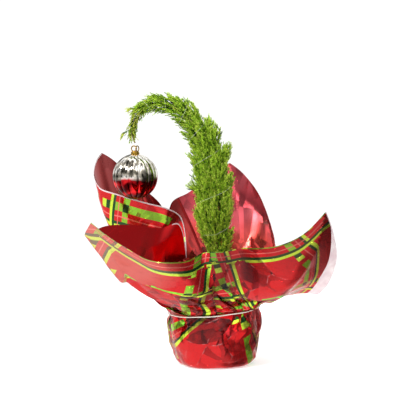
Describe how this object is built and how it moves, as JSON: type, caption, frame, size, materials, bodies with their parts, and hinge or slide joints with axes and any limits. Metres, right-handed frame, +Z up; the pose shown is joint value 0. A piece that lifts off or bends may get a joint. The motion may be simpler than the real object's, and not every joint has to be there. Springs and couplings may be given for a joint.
{
  "type": "potted lemon cypress with a crooked tip in a gathered film wrap",
  "caption": "Small potted cypress whose tip bends over in a crook and carries a hanging ball, its pot dressed in a square of printed metallic film that flares into corner flaps.",
  "frame": {"origin": "centre of the wrapped pot's flat underside", "axes": "+Z up the stem, -Y the front that the main view faces, the crook bends over towards -X"},
  "size_m": [0.3201, 0.291, 0.3581],
  "materials": {
    "film": "metallised red film, printed outside with a lime and dark green check",
    "tie": "thin pale elastic",
    "pot": "moulded black nursery plastic",
    "soil": "crumbly dark potting mix",
    "bark": "thin stringy brown bark",
    "foliage": "fine yellow-green needle shoots",
    "ball": "mirror-silvered blown plastic with upright flutes",
    "gilt": "bright gilt"
  },
  "bodies": {
    "root": {"ball": "ball", "ball_cap": "gilt", "elastic_tie": "tie", "film_wrap": "film", "foliage_01": "foliage", "foliage_02": "foliage", "foliage_03": "foliage", "foliage_04": "foliage", "foliage_05": "foliage", "foliage_06": "foliage", "foliage_07": "foliage", "foliage_08": "foliage", "foliage_09": "foliage", "foliage_10": "foliage", "foliage_11": "foliage", "foliage_12": "foliage", "foliage_13": "foliage", "hanging_ring": "gilt", "nursery_pot": "pot", "soil": "soil", "stem_arch": "bark", "stem_bend": "bark", "stem_tip": "bark", "trunk": "bark"}
  },
  "joints": []
}
